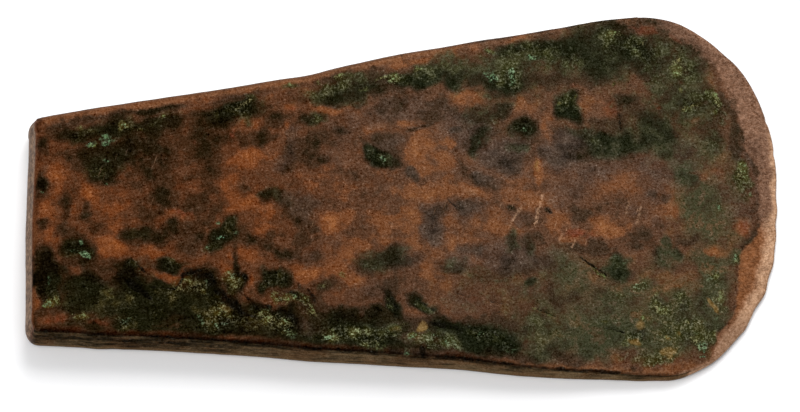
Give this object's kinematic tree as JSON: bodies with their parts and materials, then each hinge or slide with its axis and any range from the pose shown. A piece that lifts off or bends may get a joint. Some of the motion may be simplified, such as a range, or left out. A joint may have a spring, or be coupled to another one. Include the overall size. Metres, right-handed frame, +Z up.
{
  "type": "copper celt",
  "caption": "Flat axe head of tarnished copper with a narrow butt, straight flaring sides and a broad curved cutting edge, lying on its plain face.",
  "frame": {"origin": "on the ground under the middle of the celt's length and width, as it lies on its underside", "axes": "+X from the butt to the cutting edge, +Y across the blade, +Z up out of the showing face"},
  "size_m": [0.1311, 0.067, 0.0078],
  "materials": {
    "tarnished_copper": "worn satin copper with brown, black and green patina"
  },
  "bodies": {
    "root": {"celt_body": "tarnished_copper"}
  },
  "joints": []
}
